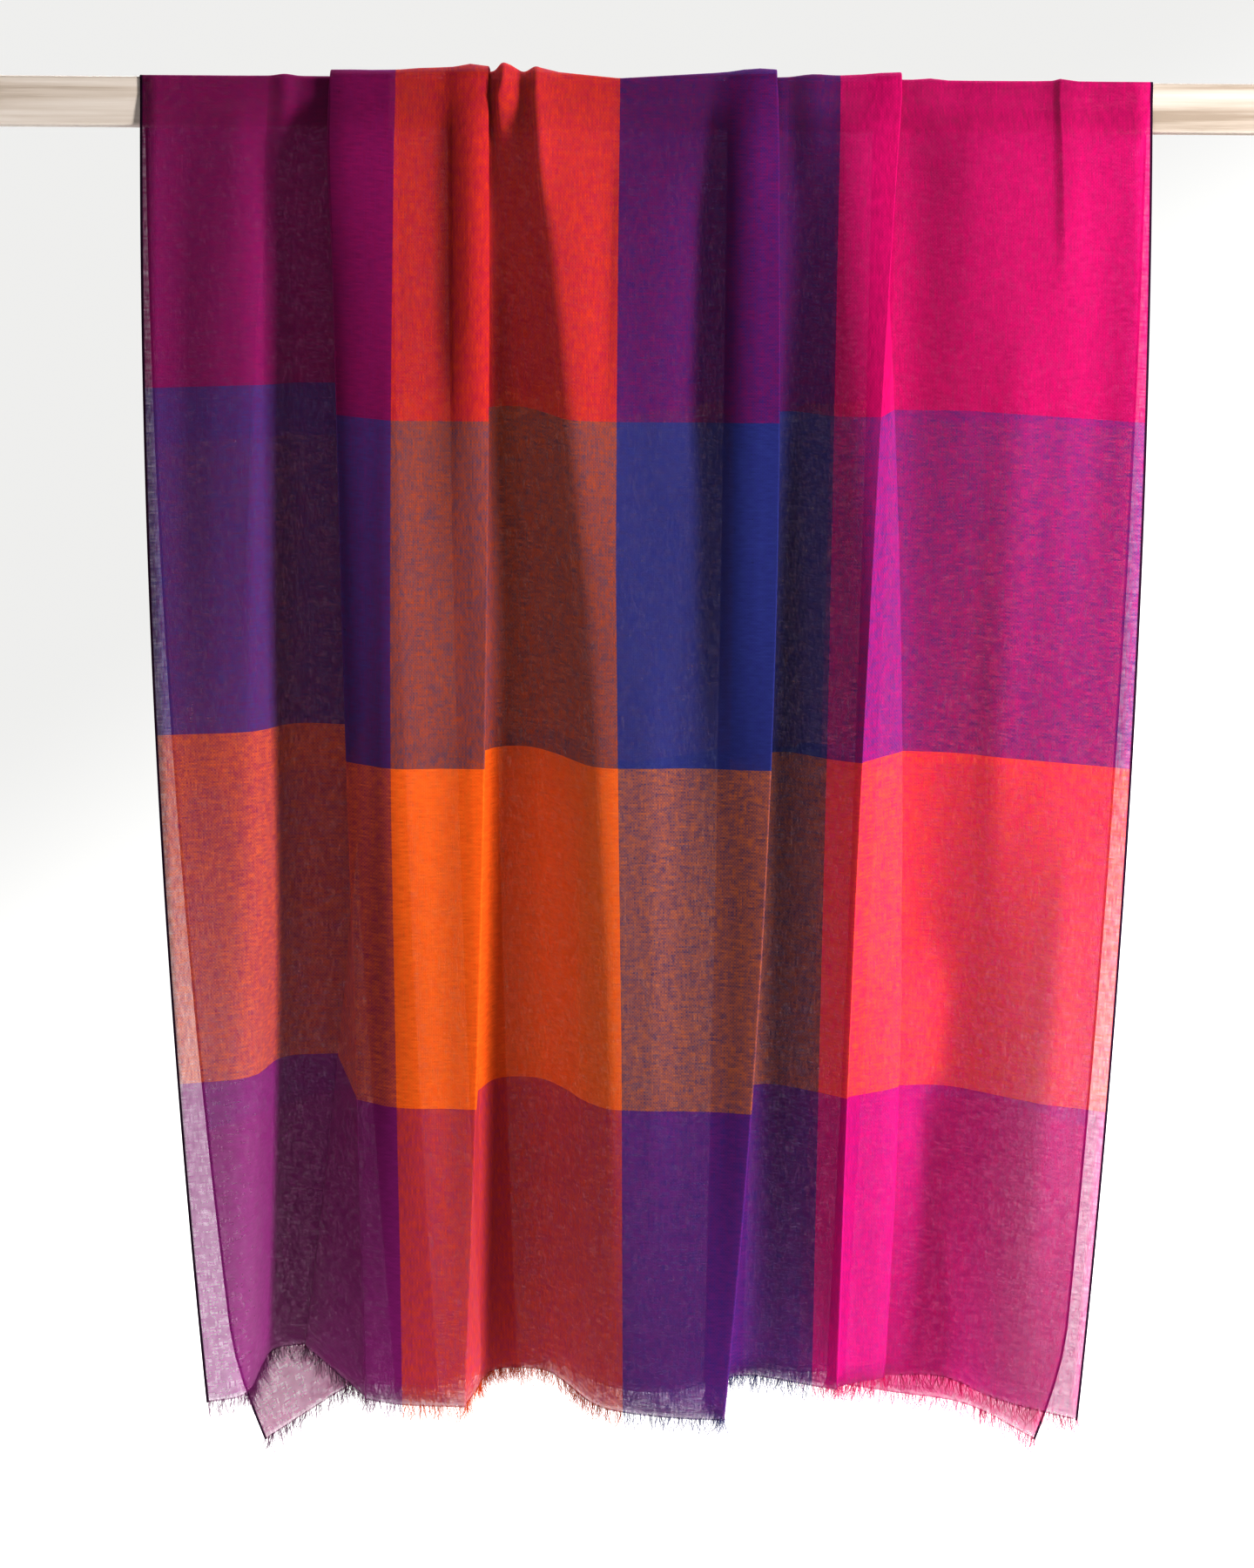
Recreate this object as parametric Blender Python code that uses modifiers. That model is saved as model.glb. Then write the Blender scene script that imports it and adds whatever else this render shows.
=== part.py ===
"""A light woven scarf hung over a plain wooden rail, about 1.0 m wide and 2.0 m long when laid flat.

The cloth is one sheet in three stretches: the front fall, the crown over the rail and the back fall.
Each stretch is a wall lofted through sections. A section is the cloth seen from above at one height,
and it runs through the fold lines of the table FOLDS. Both hems end in a short cut fringe.
The origin is the middle of the rail, +X runs along the rail, -Y is the front and +Z is up.
"""
import math
from collections import namedtuple

import bpy
import bmesh

MM = 0.001

# The rail, a planed batten
RAIL_LENGTH = 1000 * MM
RAIL_DEPTH = 21 * MM
RAIL_HEIGHT = 35 * MM
RAIL_EDGE = 1.5 * MM

# The cloth
WALL = 1.0 * MM
SEAM = 0.3 * MM
REST = SEAM + WALL / 2
FRONT_DROP = 972 * MM
BACK_DROP = 975 * MM
SEAM_HEIGHT = 5 * MM
HEM_GAP = 0.8 * MM
FALL_ROWS = 13
BACK_TAPER_LEFT = 0.17
BACK_TAPER_RIGHT = 0.11

# Where the cloth turns back on itself in a pleat, its layers lie this far apart, and a share of that
# distance is rounded off at each corner of the turn
LAYER_GAP_RAIL = 2 * MM
LAYER_GAP_HEM = 6 * MM
TURN_ROUNDING = 0.3

# How much of each other corner of a section is rounded off, at the rail and at the hem, and the
# largest share of the panel beside it that the rounding takes up
SOFTNESS_RAIL = 3 * MM
SOFTNESS_HEM = 28 * MM
PANEL_SHARE = 0.45

# The fringe
STRIP_HEIGHT = 3 * MM
LOCKS = 64
LOCK_LENGTH = 8 * MM
LOCK_SPREAD = 2.5 * MM
LOCK_TIP = 0.35

# Fold lines from the left selvedge to the right one, in mm. x is the place along the rail and out the
# distance in front of the flat cloth, at the rail, half way down and at the front hem. back_out is the
# same behind the back fall, at its hem. up is how far the front hem is drawn up there, and down how far
# the back hem hangs lower. A turn is where the cloth folds back on itself, and turns come in pairs.
Fold = namedtuple("Fold", "line kind up down rail_x rail_out mid_x mid_out hem_x hem_out back_out")
FOLDS = [
    Fold("left selvedge", "edge", 22, 58, -366, 0, -353, 50, -311, 124, 12),
    Fold("left panel edge", "fold", 25, 22, -271, 0, -279, 44, -281, 120, 40),
    Fold("plum valley", "fold", 27, 14, -250, 0, -260, 3, -278, 11, 18),
    Fold("plum pleat, under", "turn", 27, 18, -186, 1, -205, 2, -252, 4, 20),
    Fold("plum pleat, over", "turn", 4, 24, -228, 3, -215, 37, -202, 58, 52),
    Fold("plum to orange", "fold", 0, 32, -181, 5, -182, 55, -177, 63, 60),
    Fold("orange pleat, over", "turn", 0, 10, -114, 7, -114, 55, -127, 63, 68),
    Fold("orange pleat, under", "turn", 6, 10, -145, 4, -125, 29, -118, 29, 45),
    Fold("orange valley, left", "fold", 11, 4, -109, 4, -107, 3, -109, 5, 32),
    Fold("orange valley, right", "fold", 11, 4, -99, 9, -81, 3, -69, 6, 34),
    Fold("orange slope", "fold", 7, 5, -89, 3, -60, 22, -52, 32, 46),
    Fold("orange ridge", "fold", 1, 8, -80, 5, -38, 47, -33, 63, 58),
    Fold("orange to blue", "fold", 0, 34, -19, 0, -19, 50, -12, 76, 62),
    Fold("blue panel", "fold", 0, 38, 45, 4, 35, 42, 23, 88, 70),
    Fold("blue pleat, over", "turn", 0, 12, 94, 5.5, 94, 53, 64, 89, 72),
    Fold("blue pleat, under", "turn", 5, 14, 60, 1.7, 65, 26, 51, 47, 45),
    Fold("blue valley", "fold", 9, 2, 105, 1.5, 105, 3, 75, 6, 28),
    Fold("blue to pink", "fold", 5, 8, 140, 3, 137, 21, 137, 29, 32),
    Fold("pink pleat, over", "turn", 5, 12, 184, 4.5, 161, 42, 151, 31, 50),
    Fold("pink pleat, under", "turn", 10, 10, 166, 1.5, 192, 13, 187, 5, 20),
    Fold("pink valley", "fold", 10, 20, 234, 0, 234, 8, 235, 6, 18),
    Fold("pink panel", "fold", 6, 28, 296, 0, 296, 32, 266, 53, 24),
    Fold("right selvedge", "edge", 2, 54, 366, 0, 357, 47, 323, 90, 12),
]

COLLECTION = "scarf_on_rail"
CLOTH_ROUGHNESS = 0.85


def clear_scene():
    for item in list(bpy.data.objects):
        bpy.data.objects.remove(item, do_unlink=True)


def make_material(name, color, roughness):
    material = bpy.data.materials.new(name)
    material.use_nodes = True
    shader = material.node_tree.nodes["Principled BSDF"]
    shader.inputs["Base Color"].default_value = (*color, 1.0)
    shader.inputs["Roughness"].default_value = roughness
    shader.inputs["Metallic"].default_value = 0.0
    return material


def blend(start, end, share):
    return start + (end - start) * share


def through(rail, middle, hem, down):
    """The smooth curve through a value at the rail, one half way down and one at the hem."""
    return (
        rail * (1 - down) * (1 - 2 * down)
        + middle * 4 * down * (1 - down)
        + hem * down * (2 * down - 1)
    )


def curve_middle(start, pull, end):
    """The middle of the arc from start to end that is drawn towards the corner pull."""
    return [blend(blend(a, p, 0.5), blend(p, b, 0.5), 0.5) for a, p, b in zip(start, pull, end)]


def fold_place(fold, side, down):
    """Where a fold line is at a share of the way down: along the rail, and out from the flat cloth."""
    if side == "front":
        x = through(fold.rail_x, fold.mid_x, fold.hem_x, down)
        out = through(fold.rail_out, fold.mid_out, fold.hem_out, down)
    else:
        taper = BACK_TAPER_LEFT if fold.rail_x < 0 else BACK_TAPER_RIGHT
        x = fold.rail_x * (1 - taper * down**2)
        out = blend(fold.rail_out, fold.back_out, down)
    return x * MM, out * MM


def hem_height(fold, side):
    crest = RAIL_HEIGHT / 2 + REST
    if side == "front":
        return crest - FRONT_DROP + fold.up * MM
    return crest - BACK_DROP - fold.down * MM


def corner_points(side, down):
    """The corners of one section. Each turn gives two of them, one for each layer that meets there."""
    gap = blend(LAYER_GAP_RAIL, LAYER_GAP_HEM, down)
    corners = []
    first_turn = None
    for fold in FOLDS:
        x, out = fold_place(fold, side, down)
        z = hem_height(fold, side)
        if fold.kind != "turn":
            corners.append((x, out, z, fold.kind))
            continue
        if first_turn is None:
            first_turn = (x, out, z)
            continue
        rising = math.copysign(gap / 2, out - first_turn[1])
        for turn_x, turn_out, turn_z in (first_turn, (x, out, z)):
            corners.append((turn_x, turn_out - rising, turn_z, "turn"))
            corners.append((turn_x, turn_out + rising, turn_z, "turn"))
        first_turn = None
    return corners


def section(side, down):
    """A section of the cloth: points (x, out, hem height) along its corners, each corner rounded."""
    corners = corner_points(side, down)
    softness = blend(SOFTNESS_RAIL, SOFTNESS_HEM, down)
    turn_cut = TURN_ROUNDING * blend(LAYER_GAP_RAIL, LAYER_GAP_HEM, down)
    points = [corners[0][:3]]
    for before, corner, after in zip(corners, corners[1:], corners[2:]):
        is_turn = corner[3] == "turn"
        cuts = []
        for other in (before, after):
            length = math.dist(other[:2], corner[:2])
            cut = turn_cut if is_turn else min(PANEL_SHARE * length, softness)
            cuts.append([blend(corner[i], other[i], cut / length) for i in range(3)])
        points.append(tuple(cuts[0]))
        if not is_turn:
            points.append(tuple(curve_middle(cuts[0], corner, cuts[1])))
        points.append(tuple(cuts[1]))
    points.append(corners[-1][:3])
    return points


def facing(side):
    return -1 if side == "front" else 1


def fall_point(point, side, z):
    x, out, _ = point
    return (x, facing(side) * (RAIL_DEPTH / 2 + REST + out), z)


def fall_rows(side):
    """Rows of points down one side of the rail, from the seam with the crown to the hem."""
    rows = []
    top = SEAM_HEIGHT - SEAM / 2
    for index in range(FALL_ROWS):
        down = index / (FALL_ROWS - 1)
        row = []
        for point in section(side, down):
            row.append(fall_point(point, side, blend(top, point[2], down)))
        rows.append(row)
    return rows


def crown_rows():
    """Rows of points over the top of the rail, from the front seam to the back seam."""
    corner_y = RAIL_DEPTH / 2 - RAIL_EDGE
    corner_z = RAIL_HEIGHT / 2 - RAIL_EDGE
    arc = [0, 45, 90]
    section_points = section("front", 0)
    rows = []
    for side in ("front", "back"):
        way = [None] + arc
        if side == "back":
            way.reverse()
        for angle in way:
            row = []
            for x, out, _ in section_points:
                reach = RAIL_EDGE + REST + out
                turn = math.radians(angle or 0)
                y = facing(side) * (corner_y + reach * math.cos(turn))
                z = corner_z + reach * math.sin(turn)
                if angle is None:
                    z = SEAM_HEIGHT + SEAM / 2
                row.append((x, y, z))
            rows.append(row)
    return rows


def add_object(name, mesh, material, collection):
    item = bpy.data.objects.new(name, mesh)
    item.data.materials.append(material)
    collection.objects.link(item)
    return item


def thicken(item):
    wall = item.modifiers.new("wall", "SOLIDIFY")
    wall.thickness = WALL
    wall.offset = 0.0
    wall.use_even_offset = True


def loft(bm, rows):
    """A sheet of faces between rows of points, which it returns as vertices."""
    grid = [[bm.verts.new(point) for point in row] for row in rows]
    for upper, lower in zip(grid, grid[1:]):
        for i in range(len(upper) - 1):
            bm.faces.new((upper[i], upper[i + 1], lower[i + 1], lower[i]))
    return grid


def finish_sheet(name, bm, material, collection):
    bmesh.ops.recalc_face_normals(bm, faces=bm.faces)
    mesh = bpy.data.meshes.new(name)
    bm.to_mesh(mesh)
    bm.free()
    mesh.shade_smooth()
    item = add_object(name, mesh, material, collection)
    thicken(item)
    return item


def make_stretch(name, rows, material, collection):
    bm = bmesh.new()
    loft(bm, rows)
    return finish_sheet(name, bm, material, collection)


def spaced(points, count):
    """Points at even distances along a line of points."""
    lengths = [0.0]
    for a, b in zip(points, points[1:]):
        lengths.append(lengths[-1] + math.dist(a[:2], b[:2]))
    result = []
    index = 0
    for step in range(count):
        want = lengths[-1] * step / (count - 1)
        while index < len(points) - 2 and lengths[index + 1] < want:
            index += 1
        share = (want - lengths[index]) / (lengths[index + 1] - lengths[index])
        result.append([blend(points[index][i], points[index + 1][i], share) for i in range(3)])
    return result


def lock_length(index):
    """Cut ends are never even: the length of a lock wanders a little along the hem."""
    return LOCK_LENGTH + LOCK_SPREAD * math.sin(2.4 * index) * math.cos(0.7 * index)


def make_fringe(name, side, material, collection):
    """A narrow strip along the hem with tapering locks, all cut from one thin sheet."""
    roots = spaced(section(side, 1.0), 2 * LOCKS + 2)
    top = [fall_point(root, side, root[2] - HEM_GAP) for root in roots]
    bottom = [(x, y, z - STRIP_HEIGHT) for x, y, z in top]
    bm = bmesh.new()
    lower = loft(bm, [top, bottom])[1]
    for index in range(LOCKS):
        left = lower[2 * index + 1]
        right = lower[2 * index + 2]
        middle = (left.co + right.co) / 2
        tips = []
        for root in (right, left):
            tip = middle + (root.co - middle) * LOCK_TIP
            tip.z = middle.z - lock_length(index)
            tips.append(bm.verts.new(tip))
        bm.faces.new((left, right, tips[0], tips[1]))
    return finish_sheet(name, bm, material, collection)


def make_rail(material, collection):
    bm = bmesh.new()
    bmesh.ops.create_cube(bm, size=1.0)
    bmesh.ops.scale(bm, vec=(RAIL_LENGTH, RAIL_DEPTH, RAIL_HEIGHT), verts=bm.verts)
    mesh = bpy.data.meshes.new("rail")
    bm.to_mesh(mesh)
    bm.free()
    rail = add_object("rail", mesh, material, collection)
    edge = rail.modifiers.new("eased edges", "BEVEL")
    edge.width = RAIL_EDGE
    edge.segments = 2
    edge.limit_method = "ANGLE"
    return rail


def build():
    clear_scene()
    collection = bpy.data.collections.new(COLLECTION)
    bpy.context.scene.collection.children.link(collection)
    wood = make_material("pale wood", (0.72, 0.63, 0.50), 0.55)
    front = make_material("front cloth", (0.44, 0.07, 0.13), CLOTH_ROUGHNESS)
    crown = make_material("crown cloth", (0.45, 0.04, 0.14), CLOTH_ROUGHNESS)
    back = make_material("back cloth", (0.36, 0.06, 0.16), CLOTH_ROUGHNESS)
    front_cut = make_material("front fringe", (0.40, 0.10, 0.20), CLOTH_ROUGHNESS)
    back_cut = make_material("back fringe", (0.50, 0.12, 0.25), CLOTH_ROUGHNESS)
    make_rail(wood, collection)
    make_stretch("front_fall", fall_rows("front"), front, collection)
    make_stretch("crown", crown_rows(), crown, collection)
    make_stretch("back_fall", fall_rows("back"), back, collection)
    make_fringe("front_fringe", "front", front_cut, collection)
    make_fringe("back_fringe", "back", back_cut, collection)


build()
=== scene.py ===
import bisect
import math
import random
from collections import namedtuple

import bmesh
import bpy
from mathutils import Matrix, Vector


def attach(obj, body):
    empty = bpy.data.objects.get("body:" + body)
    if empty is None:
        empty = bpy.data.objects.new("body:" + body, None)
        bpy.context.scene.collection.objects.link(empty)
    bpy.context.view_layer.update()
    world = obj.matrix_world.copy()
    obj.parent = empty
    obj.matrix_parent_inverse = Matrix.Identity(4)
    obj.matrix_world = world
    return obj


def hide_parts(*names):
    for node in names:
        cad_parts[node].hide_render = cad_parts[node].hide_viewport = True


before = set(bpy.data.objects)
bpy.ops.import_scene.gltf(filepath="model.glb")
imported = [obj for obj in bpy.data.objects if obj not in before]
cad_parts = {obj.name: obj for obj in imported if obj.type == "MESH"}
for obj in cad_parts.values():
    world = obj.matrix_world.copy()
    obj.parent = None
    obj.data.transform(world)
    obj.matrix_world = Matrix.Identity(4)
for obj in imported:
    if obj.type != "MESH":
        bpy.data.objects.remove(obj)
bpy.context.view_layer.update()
bpy.ops.object.select_all(action="DESELECT")


# The camera
# It stands 2.3 m in front of the rail at chest height, looks a little down at the cloth, and leans a
# fraction of a degree, as the rail in the photograph does. The lens is 71.6 mm on a 36 mm high picture,
# and the view's gamma gives it the photograph's bright lit folds beside deep ones.
bpy.ops.object.camera_add(
    location=(-0.0126, -2.31, -0.197),
    rotation=(math.radians(82.6), math.radians(-0.4), 0.0),
)
camera = bpy.context.object
camera.name = "camera"
camera.data.lens = 71.6
camera.data.sensor_width = 36.0
bpy.context.scene.camera = camera
bpy.context.scene.view_settings.view_transform = "Standard"
bpy.context.scene.view_settings.gamma = 0.7


# The studio
# A pale floor well below the cloth, a bright white room behind it, a strong soft lamp at the right, a
# weak one at the left and one above the floor. Daylight from behind the gauze is what makes it glow.
def socket_in(tree, socket, value):
    if isinstance(value, bpy.types.NodeSocket):
        tree.links.new(value, socket)
    else:
        socket.default_value = value


def shader_node(tree, kind, inputs=(), **settings):
    made = tree.nodes.new("ShaderNode" + kind)
    for name, value in settings.items():
        setattr(made, name, value)
    for key, value in dict(inputs).items():
        socket_in(tree, made.inputs[key], value)
    return made


def calculate(tree, operation, *values):
    return shader_node(tree, "Math", enumerate(values), operation=operation).outputs[0]


def smooth_range(tree, value, low, high, to_low=0.0, to_high=1.0):
    inputs = {"Value": value, "From Min": low, "From Max": high, "To Min": to_low, "To Max": to_high}
    made = shader_node(tree, "MapRange", inputs, interpolation_type="SMOOTHSTEP")
    return made.outputs["Result"]


def color_ramp(tree, value, stops, interpolation="LINEAR"):
    made = shader_node(tree, "ValToRGB", {"Fac": value})
    ramp = made.color_ramp
    ramp.interpolation = interpolation
    while len(ramp.elements) < len(stops):
        ramp.elements.new(0.5)
    for element, (position, color) in zip(ramp.elements, stops):
        element.position = position
        element.color = (*color, 1.0)
    return made.outputs["Color"]


def new_material(name):
    material = bpy.data.materials.new(name)
    material.use_nodes = True
    material.node_tree.nodes.clear()
    return material, material.node_tree


floor_height = -1.42
floor_radius = 2.4
bpy.ops.mesh.primitive_circle_add(
    vertices=96, radius=floor_radius, fill_type="NGON", location=(0, 0, floor_height)
)
floor = bpy.context.object
floor.name = "studio_floor"
material, tree = new_material("pale floor")
place = shader_node(tree, "TexCoord").outputs["Object"]
away = shader_node(tree, "VectorMath", {0: place}, operation="LENGTH").outputs["Value"]
faded = smooth_range(tree, away, 0.55 * floor_radius, 0.98 * floor_radius)
paint = shader_node(tree, "BsdfPrincipled", {"Base Color": (0.93, 0.93, 0.93, 1), "Roughness": 0.9})
clear = shader_node(tree, "BsdfTransparent")
mixed = shader_node(tree, "MixShader", {0: faded, 1: paint.outputs[0], 2: clear.outputs[0]})
shader_node(tree, "OutputMaterial", {"Surface": mixed.outputs[0]})
floor.data.materials.append(material)

world = bpy.data.worlds.new("white room")
bpy.context.scene.world = world
world.use_nodes = True
tree = world.node_tree
tree.nodes.clear()
direction = shader_node(tree, "TexCoord").outputs["Object"]
across, depth, height = shader_node(tree, "SeparateXYZ", {0: direction}).outputs
# The camera sees the room grow from grey at the upper left to pure white at the lower right
slant = calculate(tree, "SUBTRACT", height, calculate(tree, "MULTIPLY", across, 0.6))
seen = smooth_range(tree, slant, 0.02, -0.34, 0.902, 1.9)
# The cloth gets most of the room's light from behind and below
behind = smooth_range(tree, height, 0.3, -0.4, 0.5, 1.05)
soft = smooth_range(tree, depth, 0.0, 0.4, 0.12, behind)
is_seen = shader_node(tree, "LightPath").outputs["Is Camera Ray"]
strength = shader_node(tree, "Mix", {"Factor": is_seen, "A": soft, "B": seen}).outputs["Result"]
room = shader_node(tree, "Background", {"Color": (1.0, 0.998, 0.99, 1), "Strength": strength})
shader_node(tree, "OutputWorld", {"Surface": room.outputs[0]})


def soft_lamp(name, place, aim, size, power, color=(1, 1, 1)):
    bpy.ops.object.light_add(type="AREA", location=place)
    lamp = bpy.context.object
    lamp.name = name
    lamp.data.shape = "DISK"
    lamp.data.size = size
    lamp.data.energy = power
    lamp.data.color = color
    toward = Vector(aim) - Vector(place)
    lamp.rotation_euler = toward.to_track_quat("-Z", "Y").to_euler()


soft_lamp("key lamp", (3.15, -1.65, 0.2), (0, 0, -0.6), 0.8, 310, (1.0, 0.985, 0.96))
soft_lamp("left lamp", (-1.6, -3.0, 0.3), (0, 0, -0.5), 1.6, 30)
soft_lamp("floor lamp", (0, 1.6, 2.2), (0, 1.4, -1.4), 2.0, 160)


# The rail
# A planed batten of pale softwood, 21 by 35 mm and 1 m long, held level by what is outside the picture.
# Its form is the solid's own. The grain runs along it, with a few darker streaks and a dull planed face.
material, tree = new_material("pale wood")
place = shader_node(tree, "TexCoord").outputs["Object"]
stretched = shader_node(tree, "Mapping", {"Vector": place, "Scale": (7, 260, 260)}).outputs[0]
grain = shader_node(tree, "TexNoise", {"Vector": stretched, "Scale": 1.0, "Detail": 4.0, "Roughness": 0.6})
broad = shader_node(tree, "Mapping", {"Vector": place, "Scale": (2.2, 60, 60)}).outputs[0]
bands = shader_node(tree, "TexNoise", {"Vector": broad, "Scale": 1.0, "Detail": 2.0, "Distortion": 0.4})
both = calculate(tree, "ADD", calculate(tree, "MULTIPLY", grain.outputs[0], 0.45), bands.outputs[0])
along = shader_node(tree, "SeparateXYZ", {0: place}).outputs[0]
# The wood is a shade darker towards its right end
both = calculate(tree, "ADD", both, smooth_range(tree, along, -0.4, 0.5, 0.03, -0.12))
wood = color_ramp(tree, both, [
    (0.50, (0.36, 0.30, 0.25)),
    (0.62, (0.50, 0.44, 0.39)),
    (0.78, (0.58, 0.53, 0.49)),
    (0.95, (0.64, 0.60, 0.57)),
])
bump = shader_node(tree, "Bump", {"Strength": 0.25, "Distance": 0.0006, "Height": grain.outputs[0]})
dull = smooth_range(tree, grain.outputs[0], 0.3, 0.7, 0.62, 0.5)
planed = shader_node(tree, "BsdfPrincipled", {
    "Base Color": wood, "Roughness": dull, "Specular IOR Level": 0.3, "Normal": bump.outputs[0],
})
shader_node(tree, "OutputMaterial", {"Surface": planed.outputs[0]})
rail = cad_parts["rail"]
rail.material_slots[0].material = material


# The cloth
# One sheet of light plain-woven gauze, 1.00 m wide and 1.96 m long between its fringes, laid over the
# rail in loose pleats. Four broad bands of warp cross eight of weft, so it shows four by eight squares
# of about 250 mm. Each long edge is a narrow dark selvedge.
MM = 0.001
rail_depth, rail_height, rail_edge = 21 * MM, 35 * MM, 1.5 * MM
cloth_width, cloth_length = 1000 * MM, 1960 * MM
square = 250 * MM
gauze_thickness = 0.4 * MM
# How far the gauze stands off the rail, and how far its layers lie apart in a pleat
rail_gap = 0.8 * MM
layer_gap_rail, layer_gap_hem = 2 * MM, 6 * MM
# The hems hang this far below the crest. The falls start a little above the rail's middle, and the
# back one narrows towards its hem.
front_drop, back_drop = 972 * MM, 975 * MM
seam_height = 5 * MM
back_taper_left, back_taper_right = 0.17, 0.11
# How far from its line a fold rounds off, the most that it takes of a panel, and a turn's share
softness_rail, softness_hem = 3 * MM, 28 * MM
panel_share = 0.45
turn_rounding = 0.3
# Points on a panel are about this far apart
panel_step = 14 * MM

# Fold lines from the left selvedge to the right one, in mm. x is the place along the rail and out the
# distance in front of the flat cloth, at the rail, half way down and at the front hem. back_out is the
# same behind the back fall, at its hem. up is how far the front hem is drawn up, and down how far the
# back hem hangs lower. A turn is where the cloth folds back on itself, and turns come in pairs.
Fold = namedtuple("Fold", "line kind up down rail_x rail_out mid_x mid_out hem_x hem_out back_out")
folds = [
    Fold("left selvedge", "edge", 22, 58, -366, 0, -353, 50, -311, 124, 12),
    Fold("left panel edge", "fold", 25, 22, -271, 0, -279, 44, -281, 120, 40),
    Fold("plum valley", "fold", 27, 14, -250, 0, -260, 3, -278, 11, 18),
    Fold("plum pleat, under", "turn", 27, 18, -186, 1, -205, 2, -252, 4, 20),
    Fold("plum pleat, over", "turn", 4, 24, -228, 3, -215, 37, -202, 58, 52),
    Fold("plum to orange", "fold", 0, 32, -181, 5, -182, 55, -177, 63, 60),
    Fold("orange pleat, over", "turn", 0, 10, -114, 7, -114, 55, -127, 63, 68),
    Fold("orange pleat, under", "turn", 6, 10, -145, 4, -125, 29, -118, 29, 45),
    Fold("orange valley, left", "fold", 11, 4, -109, 4, -107, 3, -109, 5, 32),
    Fold("orange valley, right", "fold", 11, 4, -99, 9, -81, 3, -69, 6, 34),
    Fold("orange slope", "fold", 7, 5, -89, 3, -60, 22, -52, 32, 46),
    Fold("orange ridge", "fold", 1, 8, -80, 5, -38, 47, -33, 63, 58),
    Fold("orange to blue", "fold", 0, 34, -19, 0, -19, 50, -12, 76, 62),
    Fold("blue panel", "fold", 0, 38, 45, 4, 35, 42, 23, 88, 70),
    Fold("blue pleat, over", "turn", 0, 12, 94, 5.5, 94, 53, 64, 89, 72),
    Fold("blue pleat, under", "turn", 5, 14, 60, 1.7, 65, 26, 51, 47, 45),
    Fold("blue valley", "fold", 9, 2, 105, 1.5, 105, 3, 75, 6, 28),
    Fold("blue to pink", "fold", 5, 8, 140, 3, 137, 21, 137, 29, 32),
    Fold("pink pleat, over", "turn", 5, 12, 184, 4.5, 161, 42, 151, 31, 50),
    Fold("pink pleat, under", "turn", 10, 10, 166, 1.5, 192, 13, 187, 5, 20),
    Fold("pink valley", "fold", 10, 20, 234, 0, 234, 8, 235, 6, 18),
    Fold("pink panel", "fold", 6, 28, 296, 0, 296, 32, 266, 53, 24),
    Fold("right selvedge", "edge", 2, 54, 366, 0, 357, 47, 323, 90, 12),
]
band_edges = ("plum to orange", "orange to blue", "blue to pink")


def blend(start, end, share):
    return start + (end - start) * share


def through(at_rail, middle, hem, down):
    return (
        at_rail * (1 - down) * (1 - 2 * down)
        + middle * 4 * down * (1 - down)
        + hem * down * (2 * down - 1)
    )


def fold_place(fold, side, down):
    if side == "front":
        x = through(fold.rail_x, fold.mid_x, fold.hem_x, down)
        out = through(fold.rail_out, fold.mid_out, fold.hem_out, down)
    else:
        taper = back_taper_left if fold.rail_x < 0 else back_taper_right
        x = fold.rail_x * (1 - taper * down**2)
        out = blend(fold.rail_out, fold.back_out, down)
    return x * MM, out * MM


def hem_height(fold, side):
    crest = rail_height / 2 + rail_gap
    if side == "front":
        return crest - front_drop + fold.up * MM
    return crest - back_drop - fold.down * MM


def corner_points(side, down):
    """The corners of one section: (x, out, hem height), kind and whether two bands meet there."""
    gap = blend(layer_gap_rail, layer_gap_hem, down)
    corners = []
    first_turn = None
    for fold in folds:
        x, out = fold_place(fold, side, down)
        z = hem_height(fold, side)
        if fold.kind != "turn":
            corners.append(((x, out, z), fold.kind, fold.line in band_edges))
        elif first_turn is None:
            first_turn = (x, out, z)
        else:
            rising = math.copysign(gap / 2, out - first_turn[1])
            for turn_x, turn_out, turn_z in (first_turn, (x, out, z)):
                corners.append(((turn_x, turn_out - rising, turn_z), "turn", False))
                corners.append(((turn_x, turn_out + rising, turn_z), "turn", False))
            first_turn = None
    return corners


def between(a, b, share):
    return tuple(blend(p, q, share) for p, q in zip(a, b))


def arc_point(start, pull, end, share):
    return between(between(start, pull, share), between(pull, end, share), share)


turn_steps, fold_steps = 4, 6


def section(side, down, panel_steps):
    """One section of the cloth as close points, and the index of each band edge among them."""
    corners = corner_points(side, down)
    softness = blend(softness_rail, softness_hem, down)
    turn_cut = turn_rounding * blend(layer_gap_rail, layer_gap_hem, down)
    arcs = [(corners[0][0],) * 3]
    for (before, _, _), (corner, kind, _), (after, _, _) in zip(corners, corners[1:], corners[2:]):
        ends = []
        for other in (before, after):
            length = math.dist(other[:2], corner[:2])
            cut = turn_cut if kind == "turn" else min(panel_share * length, softness)
            ends.append(between(corner, other, cut / length))
        arcs.append((ends[0], corner, ends[1]))
    arcs.append((corners[-1][0],) * 3)
    points, edges = [corners[0][0]], [0]
    for index in range(1, len(arcs)):
        start, pull, end = arcs[index]
        for step in range(1, panel_steps[index - 1]):
            points.append(between(arcs[index - 1][2], start, step / panel_steps[index - 1]))
        points.append(start)
        if index == len(arcs) - 1:
            break
        steps = turn_steps if corners[index][1] == "turn" else fold_steps
        if corners[index][2]:
            edges.append(len(points) - 1 + steps // 2)
        points.extend(arc_point(start, pull, end, step / steps) for step in range(1, steps + 1))
    return points, edges + [len(points) - 1]


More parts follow.
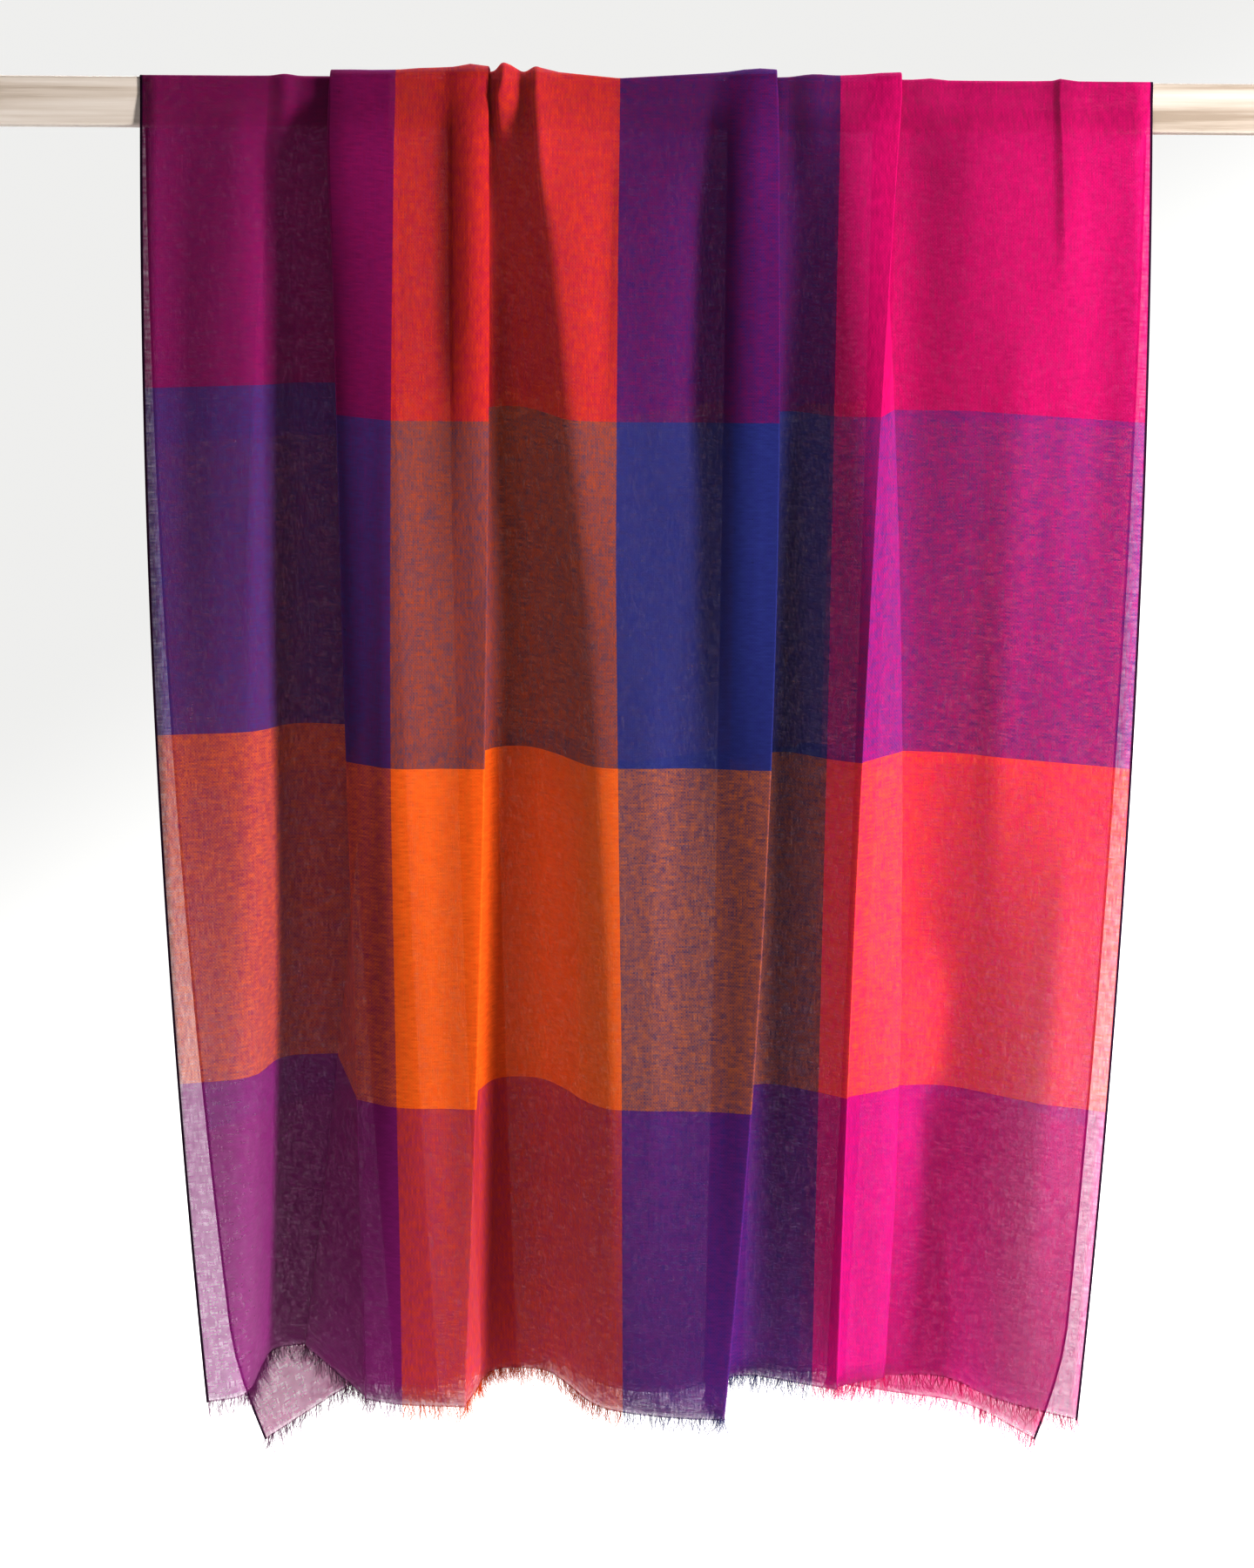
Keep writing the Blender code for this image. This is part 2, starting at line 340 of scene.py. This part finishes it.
def panel_step_counts():
    """How many steps each panel between two corners takes, from its longest stretch."""
    longest = [0.0] * (len(corner_points("front", 0)) - 1)
    for side in ("front", "back"):
        for down in (0, 0.5, 1):
            places = [corner for corner, _, _ in corner_points(side, down)]
            lengths = [math.dist(a[:2], b[:2]) for a, b in zip(places, places[1:])]
            longest = [max(pair) for pair in zip(longest, lengths)]
    return [max(1, round(length / panel_step)) for length in longest]


def band_places(points, edges):
    """Where each point lies across the cloth, in metres: each band is one square wide."""
    lengths = [0.0]
    for a, b in zip(points, points[1:]):
        lengths.append(lengths[-1] + math.dist(a[:2], b[:2]))
    places = []
    for index, length in enumerate(lengths):
        band = min(bisect.bisect_right(edges, index) - 1, len(edges) - 2)
        low, high = lengths[edges[band]], lengths[edges[band + 1]]
        places.append(square * (band + (length - low) / (high - low)))
    return places


# Creases that the fold lines leave out, in mm. across and end_across are where each starts and ends over
# the cloth's width, top and end how far below the crest, where a minus carries it over the rail. depth
# is how far it stands out, or in if it is negative, and wide is half its width.
Crease = namedtuple("Crease", "side across end_across top end depth wide")
creases = [
    Crease("front", 25, 25, 15, 420, -2.0, 9),
    Crease("front", 50, 44, 60, 620, 2.2, 15),
    Crease("front", 96, 96, -40, 90, 2.5, 7),
    Crease("front", 214, 212, -40, 140, 3.0, 7),
    Crease("front", 236, 232, 120, 900, -1.6, 9),
    Crease("front", 272, 276, -30, 300, 3.0, 10),
    Crease("front", 304, 317, -45, 300, 6.0, 8),
    Crease("front", 405, 405, -45, 60, 7.0, 5),
    Crease("front", 431, 440, -40, 110, 4.5, 6),
    Crease("front", 490, 490, 40, 270, -2.2, 8),
    Crease("front", 286, 290, 420, 950, -2.2, 13),
    Crease("front", 464, 456, 500, 940, 2.0, 12),
    Crease("front", 566, 560, 50, 320, -4.5, 18),
    Crease("front", 606, 604, -45, 120, 3.5, 16),
    Crease("front", 728, 728, -45, 90, 3.0, 14),
    Crease("front", 524, 530, 380, 930, 2.0, 13),
    Crease("front", 584, 572, 420, 960, -2.2, 14),
    Crease("front", 784, 783, -40, 60, 3.0, 5),
    Crease("front", 842, 850, -40, 70, 3.0, 6),
    Crease("front", 940, 936, -40, 160, 3.5, 6),
    Crease("front", 968, 960, 60, 420, -2.4, 12),
    Crease("front", 905, 900, 140, 640, 2.6, 15),
    Crease("front", 850, 876, 720, 966, -5.0, 12),
    Crease("front", 960, 948, 520, 960, 2.6, 15),
    Crease("back", 40, 52, 30, 700, -2.4, 15),
    Crease("back", 92, 84, -30, 960, 2.6, 18),
    Crease("back", 232, 236, -20, 620, 2.4, 10),
    Crease("back", 290, 276, -30, 760, 3.0, 13),
    Crease("back", 470, 480, 20, 640, -2.6, 14),
    Crease("back", 540, 556, 20, 860, -2.6, 15),
    Crease("back", 604, 596, -30, 980, 2.6, 14),
    Crease("back", 742, 736, -20, 700, 2.4, 12),
    Crease("back", 850, 856, 60, 900, -2.8, 16),
    Crease("back", 930, 944, -30, 980, 2.8, 16),
]


def crease_height(side, across, below):
    """How far the creases lift the cloth at a place on it, both in metres."""
    lift = 0.0
    for crease in creases:
        if crease.side != side:
            continue
        share = (below / MM - crease.top) / (crease.end - crease.top)
        if not 0 < share < 1:
            continue
        off = (across / MM - blend(crease.across, crease.end_across, share)) / crease.wide
        # It rises over its first fifth and dies away over its last two fifths
        fade = min(1.0, 5 * share, 2.5 * (1 - share))
        lift += crease.depth * math.exp(-off * off) * fade * fade * (3 - 2 * fade)
    return lift * MM


# Broad swells, in mm. They lift all layers at one place along the rail alike, so pleats stay closed. x and
# end_x are where the swell's top starts and ends, and left and right how wide its two slopes are.
Swell = namedtuple("Swell", "side x end_x top end height left right")
swells = [
    Swell("front", -285, -285, 0, 620, 7, 60, 10),
    Swell("front", -224, -200, 0, 700, 17, 42, 75),
    Swell("front", -120, -118, 0, 420, 7, 36, 7),
    Swell("front", -80, -50, -10, 420, 10, 32, 60),
    Swell("front", 70, 68, 0, 620, 9, 30, 32),
    Swell("front", 150, 150, 0, 620, 9, 45, 36),
    Swell("front", 190, 190, 620, 1500, 12, 38, 50),
    Swell("front", 238, 252, 0, 1400, 11, 52, 110),
    Swell("back", -205, -190, 0, 700, 9, 40, 60),
    Swell("back", -70, -60, 0, 700, 9, 40, 60),
    Swell("back", 90, 80, 0, 700, 8, 60, 30),
    Swell("back", 250, 235, 0, 700, 8, 60, 60),
]


def swell_height(side, x, below):
    lift = 0.0
    for swell in swells:
        share = (below / MM - swell.top) / (swell.end - swell.top)
        if swell.side != side or not 0 < share < 1:
            continue
        off = x / MM - blend(swell.x, swell.end_x, share)
        near = max(0.0, 1 - abs(off) / (swell.left if off < 0 else swell.right))
        # It rises over its first 50 mm and dies away over its lower half
        fade = min(1.0, (below / MM - swell.top) / 50, 2 * (1 - share))
        lift += swell.height * near * near * (3 - 2 * near) * fade * fade * (3 - 2 * fade)
    return lift * MM


def facing(side):
    """The front is towards -Y."""
    return -1 if side == "front" else 1


curl_depth, curl_height, curl_width = 16 * MM, 85 * MM, 90 * MM


def corner_curl(across, above_hem):
    """How far the cloth is drawn inwards near the back corners, which curl."""
    near_hem = max(0.0, 1 - above_hem / curl_height)
    near_edge = max(0.0, 1 - min(across, cloth_width - across) / curl_width)
    return curl_depth * near_hem**1.5 * near_edge


# The rows of points are closer near the rail, where the pleats are tight
front_rows, back_rows = 60, 50
front_spacing, back_spacing = 1.15, 1.1
crown_angles = [0, 18, 36, 54, 72, 90]


def fall_row(side, down, panel_steps):
    """One row of points across a fall, each as (x, y, z, across, height of the hem below it)."""
    points, edges = section(side, down, panel_steps)
    across = band_places(points, edges)
    row = []
    for index, ((x, out, hem), u) in enumerate(zip(points, across)):
        z = blend(seam_height, hem, down)
        ahead, behind = points[min(index + 1, len(points) - 1)], points[max(index - 1, 0)]
        dx, dy = ahead[0] - behind[0], ahead[1] - behind[1]
        length = math.hypot(dx, dy)
        below = rail_height / 2 + rail_gap - z
        lift = crease_height(side, u, below)
        out += swell_height(side, x, below) + lift * dx / length
        x -= lift * dy / length
        if side == "back":
            x -= math.copysign(corner_curl(u, z - hem), x)
        y = facing(side) * (rail_depth / 2 + rail_gap + max(out, 0.0))
        row.append((x, y, z, u, hem))
    return row


def cloth_rows():
    """Rows of (x, y, z, across, along) from the front hem over the rail to the back hem."""
    panel_steps = panel_step_counts()
    rows = []
    for step in range(front_rows, -1, -1):
        down = (step / front_rows) ** front_spacing
        row = fall_row("front", down, panel_steps)
        rows.append([(x, y, z, u, cloth_length - (z - hem)) for x, y, z, u, hem in row])
    corner_y, corner_z = rail_depth / 2 - rail_edge, rail_height / 2 - rail_edge
    points, edges = section("front", 0, panel_steps)
    across = band_places(points, edges)
    for side in ("front", "back"):
        angles = crown_angles if side == "front" else crown_angles[::-1]
        for angle in angles:
            row = []
            turn = math.radians(angle)
            # The creases of one fall run out over the crown into those of the other
            below = (rail_height / 2 + rail_gap - seam_height) * (1 - math.sin(turn))
            own = 1 - angle / 180
            other = "back" if side == "front" else "front"
            for index, ((x, out, _), u) in enumerate(zip(points, across)):
                lift = blend(crease_height(other, u, below), crease_height(side, u, below), own)
                lift += own * swell_height(side, x, below)
                reach = rail_edge + rail_gap + max(out + lift, 0.0)
                y = facing(side) * (corner_y + reach * math.cos(turn))
                z = corner_z + reach * math.sin(turn)
                before = rows[-1][index]
                along = before[4] - math.dist((x, y, z), before[:3])
                row.append((x, y, z, u, along))
            rows.append(row)
    seam = None
    for step in range(back_rows + 1):
        down = (step / back_rows) ** back_spacing
        row = fall_row("back", down, panel_steps)
        if seam is None:
            seam = [p[4] - math.dist(p[:3], q[:3]) for p, q in zip(rows[-1], row)]
        rows.append([(x, y, z, u, along * (z - hem) / (seam_height - hem))
                     for (x, y, z, u, hem), along in zip(row, seam)])
    return rows


uv_metres = 2.0


def sheet_mesh(name, rows):
    """A sheet through the rows, with its place on the flat cloth as a UV map, in units of 2 m."""
    mesh = bpy.data.meshes.new(name)
    bm = bmesh.new()
    uv = bm.loops.layers.uv.new("cloth")
    grid = [[bm.verts.new(point[:3]) for point in row] for row in rows]
    for r, (upper, lower) in enumerate(zip(grid, grid[1:])):
        for i in range(len(upper) - 1):
            face = bm.faces.new((upper[i], upper[i + 1], lower[i + 1], lower[i]))
            places = (rows[r][i], rows[r][i + 1], rows[r + 1][i + 1], rows[r + 1][i])
            for loop, place in zip(face.loops, places):
                loop[uv].uv = (place[3] / uv_metres, place[4] / uv_metres)
    bm.to_mesh(mesh)
    bm.free()
    mesh.shade_smooth()
    return mesh


rows = cloth_rows()
cloth = bpy.data.objects.new("scarf_cloth", sheet_mesh("scarf_cloth", rows))
bpy.context.scene.collection.objects.link(cloth)
bpy.context.view_layer.objects.active = cloth
wall = cloth.modifiers.new("thickness", "SOLIDIFY")
wall.thickness = gauze_thickness
wall.offset = 0.0
wall.use_even_offset = True
with bpy.context.temp_override(object=cloth, active_object=cloth, selected_objects=[cloth]):
    bpy.ops.object.modifier_apply(modifier="thickness")

# The dyed yarns, from the left selvedge to the right and from the back hem to the front one
aubergine = (0.030, 0.006, 0.030)
warp_plum, warp_orange = (0.170, 0.016, 0.130), (0.670, 0.110, 0.012)
warp_blue, warp_pink = (0.034, 0.034, 0.190), (0.720, 0.010, 0.220)
warp_bands = [(0.0, warp_plum), (0.125, warp_orange), (0.25, warp_blue), (0.375, warp_pink)]
weft_pink, weft_blue = (0.320, 0.010, 0.120), (0.050, 0.072, 0.240)
weft_orange, weft_plum = (0.780, 0.230, 0.035), (0.270, 0.028, 0.215)
weft_bands = [
    (0.0, weft_pink), (0.115, weft_blue), (0.24, weft_orange), (0.365, weft_plum),
    (0.49, weft_pink), (0.615, weft_blue), (0.74, weft_orange), (0.865, weft_plum),
]

# Which yarn is where on the cloth. Warp bands run along it and weft bands across.
dyed = bpy.data.node_groups.new("dyed yarns", "ShaderNodeTree")
dyed.interface.new_socket("Cloth Place", in_out="INPUT", socket_type="NodeSocketVector")
dyed.interface.new_socket("Warp", in_out="OUTPUT", socket_type="NodeSocketColor")
dyed.interface.new_socket("Weft", in_out="OUTPUT", socket_type="NodeSocketColor")
start, end = dyed.nodes.new("NodeGroupInput"), dyed.nodes.new("NodeGroupOutput")
u, v, _ = shader_node(dyed, "SeparateXYZ", {0: start.outputs[0]}).outputs
dyed.links.new(color_ramp(dyed, u, warp_bands, "CONSTANT"), end.inputs["Warp"])
dyed.links.new(color_ramp(dyed, v, weft_bands, "CONSTANT"), end.inputs["Weft"])


def group_node(tree, group, inputs):
    made = tree.nodes.new("ShaderNodeGroup")
    made.node_tree = group
    for key, value in inputs.items():
        socket_in(tree, made.inputs[key], value)
    return made.outputs


def mixed_color(tree, factor, a, b):
    made = tree.nodes.new("ShaderNodeMix")
    made.data_type = "RGBA"
    for index, value in ((0, factor), (6, a), (7, b)):
        socket_in(tree, made.inputs[index], value)
    return made.outputs[2]


material, gauze = new_material("dyed gauze")
place = shader_node(gauze, "UVMap", uv_map="cloth").outputs[0]
yarn = group_node(gauze, dyed, {"Cloth Place": place})
metres = shader_node(gauze, "VectorMath", {0: place, "Scale": uv_metres}, operation="SCALE").outputs[0]
u, v, _ = shader_node(gauze, "SeparateXYZ", {0: metres}).outputs

# Each yarn is thick and thin along its length, and light passes where the gaps of warp and weft cross
yarns_per_metre = 800
changes_per_metre = 130.0
openness = 0.68


def yarn_gap(across, along, seed):
    """How open the cloth is beside one yarn, which changes along it. About 0.5 on average."""
    which = calculate(gauze, "FLOOR", calculate(gauze, "MULTIPLY", across, yarns_per_metre))
    spread = calculate(gauze, "MULTIPLY_ADD", which, 5.37, seed)
    changing = calculate(gauze, "MULTIPLY", along, changes_per_metre)
    vector = shader_node(gauze, "CombineXYZ", {0: spread, 1: changing}).outputs[0]
    noise = {"Vector": vector, "Scale": 1.0, "Detail": 0.0}
    return shader_node(gauze, "TexNoise", noise, noise_dimensions="2D").outputs[0]


def widened(gap):
    spread = calculate(gauze, "MULTIPLY_ADD", gap, 0.7, 0.15)
    return calculate(gauze, "MULTIPLY", spread, openness)


warp_gap, weft_gap = yarn_gap(u, v, 0.31), yarn_gap(v, u, 40.77)
opened = calculate(gauze, "MULTIPLY", widened(warp_gap), widened(weft_gap))

# The weave is looser towards the corners and along the last wefts, and the selvedges are tight
from_hem = calculate(gauze, "MINIMUM", v, calculate(gauze, "SUBTRACT", cloth_length, v))
from_edge = calculate(gauze, "MINIMUM", u, calculate(gauze, "SUBTRACT", cloth_width, u))
edge_loose = smooth_range(gauze, from_edge, 110 * MM, 15 * MM, 0.0, 0.16)
end_loose = smooth_range(gauze, from_hem, 600 * MM, 150 * MM)
last_wefts = smooth_range(gauze, from_hem, 5 * MM, 0.0, 0.0, 0.2)
inside = smooth_range(gauze, from_edge, 1.2 * MM, 2.2 * MM)
opened = calculate(gauze, "ADD", opened, calculate(gauze, "MULTIPLY", edge_loose, end_loose))
opened = calculate(gauze, "ADD", opened, last_wefts)
opened = calculate(gauze, "MULTIPLY", opened, inside)
cover = calculate(gauze, "SUBTRACT", 1.0, opened)

# Half the colour is that of the yarns side by side, half that of light that passes both
waves = []
for across in (u, v):
    turned = calculate(gauze, "MULTIPLY", across, math.pi * yarns_per_metre)
    waves.append(calculate(gauze, "SINE", turned))
over = smooth_range(gauze, calculate(gauze, "MULTIPLY", *waves), -0.5, 0.5, 0.34, 0.66)
slub = calculate(gauze, "SUBTRACT", weft_gap, warp_gap)
share = calculate(gauze, "ADD", over, calculate(gauze, "MULTIPLY", slub, 0.6))
side_by_side = mixed_color(gauze, share, yarn["Weft"], yarn["Warp"])
product = shader_node(gauze, "VectorMath", {0: yarn["Warp"], 1: yarn["Weft"]}, operation="MULTIPLY")
passed = shader_node(gauze, "Gamma", {"Color": product.outputs[0], "Gamma": 0.5}).outputs[0]
color = mixed_color(gauze, 0.5, side_by_side, passed)
color = mixed_color(gauze, inside, (*aubergine, 1), color)

# Part of the light shines through the yarns, and some of it passes between them
glow_share = 0.28
height = calculate(gauze, "ADD", *(calculate(gauze, "ABSOLUTE", wave) for wave in waves))
bump = shader_node(gauze, "Bump", {"Strength": 0.3, "Distance": 0.0001, "Height": height})
lit = shader_node(gauze, "BsdfPrincipled", {
    "Base Color": color, "Roughness": 0.85, "Specular IOR Level": 0.05, "Sheen Weight": 0.05,
    "Sheen Roughness": 0.5, "Sheen Tint": (1.0, 0.45, 0.6, 1), "Normal": bump.outputs[0],
})
glow_color = shader_node(gauze, "Gamma", {"Color": color, "Gamma": 0.9}).outputs[0]
glow = shader_node(gauze, "BsdfTranslucent", {"Color": glow_color})
yarns = shader_node(gauze, "MixShader", {0: glow_share, 1: lit.outputs[0], 2: glow.outputs[0]})
clear = shader_node(gauze, "BsdfTransparent")
open_weave = shader_node(gauze, "MixShader", {0: cover, 1: clear.outputs[0], 2: yarns.outputs[0]})
# Light crosses the sheet's two faces, and only the one it meets first is counted
leaving = shader_node(gauze, "NewGeometry").outputs["Backfacing"]
surface = shader_node(gauze, "MixShader", {0: leaving, 1: open_weave.outputs[0], 2: clear.outputs[0]})
shader_node(gauze, "OutputMaterial", {"Surface": surface.outputs[0]})
cloth.data.materials.append(material)
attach(cloth, "root")
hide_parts("front_fall", "crown", "back_fall")


# The fringe
# The warp ends at both hems, cut 8 to 15 mm past the last weft and left to fray, a few of them longer.
# Each is a thin thread of three sides, bent a little its own way, in the colour of its warp band.
thread_radius = 0.18 * MM
threads_per_hem = 2200
cut_lengths = (8, 15)
long_share, long_factor = 0.15, 1.4
root = 1.2 * MM
thread_steps, thread_sides = 4, 3
random.seed(21)


def hem_lengths(row):
    """How far along the hem each of its points lies."""
    lengths = [0.0]
    for a, b in zip(row, row[1:]):
        lengths.append(lengths[-1] + math.dist(a[:3], b[:3]))
    return lengths


def fringe_mesh(name, row):
    bm = bmesh.new()
    uv = bm.loops.layers.uv.new("cloth")
    lengths = hem_lengths(row)
    for _ in range(threads_per_hem):
        want = random.random() * lengths[-1]
        index = min(bisect.bisect_right(lengths, want), len(lengths) - 1)
        share = (want - lengths[index - 1]) / (lengths[index] - lengths[index - 1])
        x, y, z, across = (blend(row[index - 1][i], row[index][i], share) for i in range(4))
        length = random.uniform(*cut_lengths) * MM * (long_factor if random.random() < long_share else 1.0)
        lean = random.gauss(0, 0.22)
        out = random.gauss(0, 0.18)
        bend = random.gauss(0, 0.35)
        rings = []
        for step in range(thread_steps + 1):
            share = step / thread_steps
            drop = length * share
            middle = Vector((
                x + drop * (lean + bend * share),
                y + drop * (out - 0.6 * bend * share),
                z + root - drop * (1 - 0.25 * abs(lean) * share) - root * share,
            ))
            radius = thread_radius * (1.0 - 0.6 * share)
            ring = []
            for corner in range(thread_sides):
                turn = 2 * math.pi * corner / thread_sides
                side = Vector((radius * math.cos(turn), radius * math.sin(turn), 0))
                ring.append(bm.verts.new(middle + side))
            rings.append(ring)
        faces = []
        for upper, lower in zip(rings, rings[1:]):
            for corner in range(thread_sides):
                after = (corner + 1) % thread_sides
                faces.append(bm.faces.new((upper[corner], lower[corner], lower[after], upper[after])))
        faces.append(bm.faces.new(rings[0]))
        faces.append(bm.faces.new(rings[-1][::-1]))
        for face in faces:
            for loop in face.loops:
                loop[uv].uv = (across / uv_metres, row[0][4] / uv_metres)
    mesh = bpy.data.meshes.new(name)
    bm.to_mesh(mesh)
    bm.free()
    mesh.shade_smooth()
    return mesh


material, tree = new_material("frayed warp ends")
place = shader_node(tree, "UVMap", uv_map="cloth").outputs[0]
yarn = group_node(tree, dyed, {"Cloth Place": place})
lit = shader_node(tree, "BsdfPrincipled", {
    "Base Color": yarn["Warp"], "Roughness": 0.85, "Specular IOR Level": 0.2, "Sheen Weight": 0.2,
})
glow = shader_node(tree, "BsdfTranslucent", {"Color": yarn["Warp"]})
thread_glow_share = 0.4
mixed = shader_node(tree, "MixShader", {0: thread_glow_share, 1: lit.outputs[0], 2: glow.outputs[0]})
shader_node(tree, "OutputMaterial", {"Surface": mixed.outputs[0]})
for name, row in (("front_fringe", rows[0]), ("back_fringe", rows[-1])):
    fringe = bpy.data.objects.new("frayed_" + name, fringe_mesh("frayed_" + name, row))
    bpy.context.scene.collection.objects.link(fringe)
    fringe.data.materials.append(material)
    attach(fringe, "root")
    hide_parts(name)
